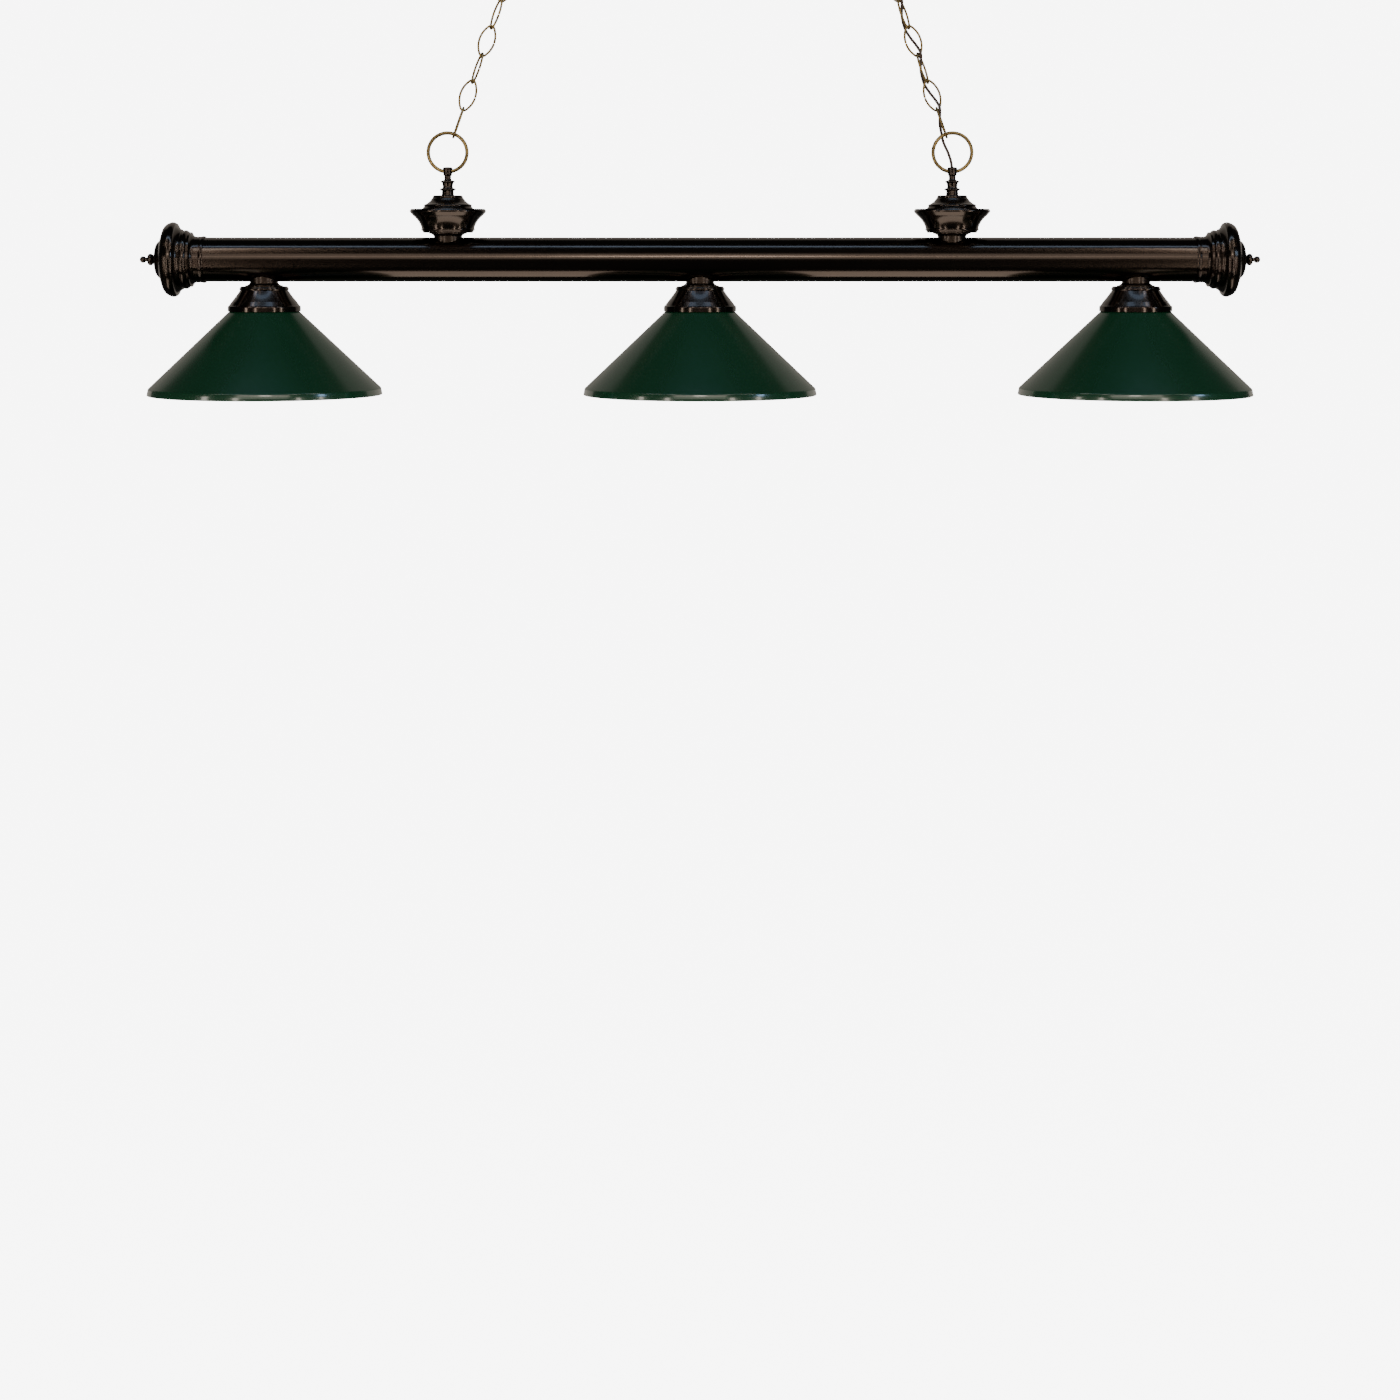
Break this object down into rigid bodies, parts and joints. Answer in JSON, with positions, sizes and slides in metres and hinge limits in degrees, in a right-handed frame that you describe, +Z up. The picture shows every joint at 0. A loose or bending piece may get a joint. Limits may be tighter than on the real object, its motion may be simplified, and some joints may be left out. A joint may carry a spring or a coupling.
{
  "type": "pool table lamp",
  "caption": "Long ceiling lamp for a pool table: a bronze bar with bell end caps on two chains, with wide conical green shades below",
  "frame": {"origin": "on the ceiling, midway between the two canopies", "axes": "+X along the bar, +Y away from the viewer, +Z up"},
  "size_m": [1.4464, 0.3018, 0.609],
  "materials": {
    "dark_bronze": "satin brushed",
    "antique_brass": "aged satin",
    "green_enamel": "satin",
    "plated_steel": "zinc plated",
    "brass_shell": "bright",
    "phenolic": "moulded",
    "bulb_glass": "frosted",
    "cord_jacket": "smooth",
    "wire_insulation": "smooth",
    "connector_plastic": "moulded"
  },
  "bodies": {
    "ceiling": {"mounting_straps": "plated_steel", "canopy_nipples": "plated_steel", "canopy_locknuts": "plated_steel", "power_cord": "cord_jacket", "ceiling_canopy_left": "dark_bronze", "canopy_loop_left": "antique_brass", "ceiling_canopy_right": "dark_bronze", "canopy_loop_right": "antique_brass"},
    "left_link_6": {"chain_link_left_6": "antique_brass"},
    "left_link_5": {"chain_link_left_5": "antique_brass"},
    "left_link_4": {"chain_link_left_4": "antique_brass"},
    "left_link_3": {"chain_link_left_3": "antique_brass"},
    "left_link_2": {"chain_link_left_2": "antique_brass"},
    "left_link_1": {"chain_link_left_1": "antique_brass"},
    "right_link_6": {"chain_link_right_6": "antique_brass"},
    "right_link_5": {"chain_link_right_5": "antique_brass"},
    "right_link_4": {"chain_link_right_4": "antique_brass"},
    "right_link_3": {"chain_link_right_3": "antique_brass"},
    "right_link_2": {"chain_link_right_2": "antique_brass"},
    "right_link_1": {"chain_link_right_1": "antique_brass"},
    "bar": {"tube": "dark_bronze", "neck_collars": "dark_bronze", "bar_nipples": "plated_steel", "bar_locknuts": "plated_steel", "tube_wires": "wire_insulation", "wire_nuts": "connector_plastic", "socket_shells": "brass_shell", "end_cap_left": "dark_bronze", "end_bracket_left": "plated_steel", "hanger_cup_left": "dark_bronze", "hanger_cone_left": "dark_bronze", "hanger_post_left": "dark_bronze", "hanger_ring_left": "antique_brass", "end_cap_right": "dark_bronze", "end_bracket_right": "plated_steel", "hanger_cup_right": "dark_bronze", "hanger_cone_right": "dark_bronze", "hanger_post_right": "dark_bronze", "hanger_ring_right": "antique_brass", "fitter_cup_left": "dark_bronze", "socket_left": "phenolic", "fitter_cup_centre": "dark_bronze", "socket_centre": "phenolic", "fitter_cup_right": "dark_bronze", "socket_right": "phenolic"},
    "finial_left": {"finial_left": "dark_bronze"},
    "finial_right": {"finial_right": "dark_bronze"},
    "shade_left": {"shade_left": "green_enamel", "shade_ring_left": "phenolic"},
    "bulb_left": {"bulb_base_left": "brass_shell", "bulb_glass_left": "bulb_glass"},
    "shade_centre": {"shade_centre": "green_enamel", "shade_ring_centre": "phenolic"},
    "bulb_centre": {"bulb_base_centre": "brass_shell", "bulb_glass_centre": "bulb_glass"},
    "shade_right": {"shade_right": "green_enamel", "shade_ring_right": "phenolic"},
    "bulb_right": {"bulb_base_right": "brass_shell", "bulb_glass_right": "bulb_glass"}
  },
  "joints": [
    {"name": "left_link_6_swing", "type": "hinge", "parent": "ceiling", "child": "left_link_6", "pos_m": [-0.24221, 0, -0.06529], "axis": [1, 0, 0], "range_deg": [-10, 10], "deforming": ["power_cord"]},
    {"name": "left_link_5_swing", "type": "hinge", "parent": "left_link_6", "child": "left_link_5", "pos_m": [-0.25576, 0, -0.10335], "axis": [1, 0, 0], "range_deg": [-10, 10], "deforming": ["power_cord"]},
    {"name": "left_link_4_swing", "type": "hinge", "parent": "left_link_5", "child": "left_link_4", "pos_m": [-0.26697, 0, -0.13482], "axis": [1, 0, 0], "range_deg": [-10, 10], "deforming": ["power_cord"]},
    {"name": "left_link_3_swing", "type": "hinge", "parent": "left_link_4", "child": "left_link_3", "pos_m": [-0.28052, 0, -0.17288], "axis": [1, 0, 0], "range_deg": [-10, 10], "deforming": ["power_cord"]},
    {"name": "left_link_2_swing", "type": "hinge", "parent": "left_link_3", "child": "left_link_2", "pos_m": [-0.29172, 0, -0.20434], "axis": [1, 0, 0], "range_deg": [-10, 10], "deforming": ["power_cord"]},
    {"name": "left_link_1_swing", "type": "hinge", "parent": "left_link_2", "child": "left_link_1", "pos_m": [-0.30528, 0, -0.2424], "axis": [1, 0, 0], "range_deg": [-10, 10], "deforming": ["power_cord"]},
    {"name": "right_link_6_swing", "type": "hinge", "parent": "ceiling", "child": "right_link_6", "pos_m": [0.24221, 0, -0.06529], "axis": [1, 0, 0], "range_deg": [-10, 10], "deforming": ["power_cord"]},
    {"name": "right_link_5_swing", "type": "hinge", "parent": "right_link_6", "child": "right_link_5", "pos_m": [0.25576, 0, -0.10335], "axis": [1, 0, 0], "range_deg": [-10, 10], "deforming": ["power_cord"]},
    {"name": "right_link_4_swing", "type": "hinge", "parent": "right_link_5", "child": "right_link_4", "pos_m": [0.26697, 0, -0.13482], "axis": [1, 0, 0], "range_deg": [-10, 10], "deforming": ["power_cord"]},
    {"name": "right_link_3_swing", "type": "hinge", "parent": "right_link_4", "child": "right_link_3", "pos_m": [0.28052, 0, -0.17288], "axis": [1, 0, 0], "range_deg": [-10, 10], "deforming": ["power_cord"]},
    {"name": "right_link_2_swing", "type": "hinge", "parent": "right_link_3", "child": "right_link_2", "pos_m": [0.29172, 0, -0.20434], "axis": [1, 0, 0], "range_deg": [-10, 10], "deforming": ["power_cord"]},
    {"name": "right_link_1_swing", "type": "hinge", "parent": "right_link_2", "child": "right_link_1", "pos_m": [0.30528, 0, -0.2424], "axis": [1, 0, 0], "range_deg": [-10, 10], "deforming": ["power_cord"]},
    {"name": "bar_swing", "type": "hinge", "parent": "left_link_1", "child": "bar", "pos_m": [-0.31608, 0, -0.27305], "axis": [1, 0, 0], "range_deg": [-10, 10], "deforming": ["power_cord"]},
    {"name": "shade_left_turn", "type": "hinge", "parent": "bar", "child": "shade_left", "pos_m": [-0.563, 0, -0.486], "axis": [0, 0, 1], "continuous": true},
    {"name": "bulb_left_turn", "type": "hinge", "parent": "bar", "child": "bulb_left", "pos_m": [-0.563, 0, -0.499], "axis": [0, 0, 1], "continuous": true},
    {"name": "shade_centre_turn", "type": "hinge", "parent": "bar", "child": "shade_centre", "pos_m": [0, 0, -0.486], "axis": [0, 0, 1], "continuous": true},
    {"name": "bulb_centre_turn", "type": "hinge", "parent": "bar", "child": "bulb_centre", "pos_m": [0, 0, -0.499], "axis": [0, 0, 1], "continuous": true},
    {"name": "shade_right_turn", "type": "hinge", "parent": "bar", "child": "shade_right", "pos_m": [0.563, 0, -0.486], "axis": [0, 0, 1], "continuous": true},
    {"name": "bulb_right_turn", "type": "hinge", "parent": "bar", "child": "bulb_right", "pos_m": [0.563, 0, -0.499], "axis": [0, 0, 1], "continuous": true},
    {"name": "finial_left_turn", "type": "hinge", "parent": "bar", "child": "finial_left", "pos_m": [-0.709, 0, -0.434], "axis": [1, 0, 0], "continuous": true},
    {"name": "finial_right_turn", "type": "hinge", "parent": "bar", "child": "finial_right", "pos_m": [0.709, 0, -0.434], "axis": [1, 0, 0], "continuous": true}
  ],
  "couplings": [
    {"joint": "right_link_6_swing", "follows": "left_link_6_swing", "ratio": 1},
    {"joint": "right_link_5_swing", "follows": "left_link_5_swing", "ratio": 1},
    {"joint": "right_link_4_swing", "follows": "left_link_4_swing", "ratio": 1},
    {"joint": "right_link_3_swing", "follows": "left_link_3_swing", "ratio": 1},
    {"joint": "right_link_2_swing", "follows": "left_link_2_swing", "ratio": 1},
    {"joint": "right_link_1_swing", "follows": "left_link_1_swing", "ratio": 1}
  ]
}
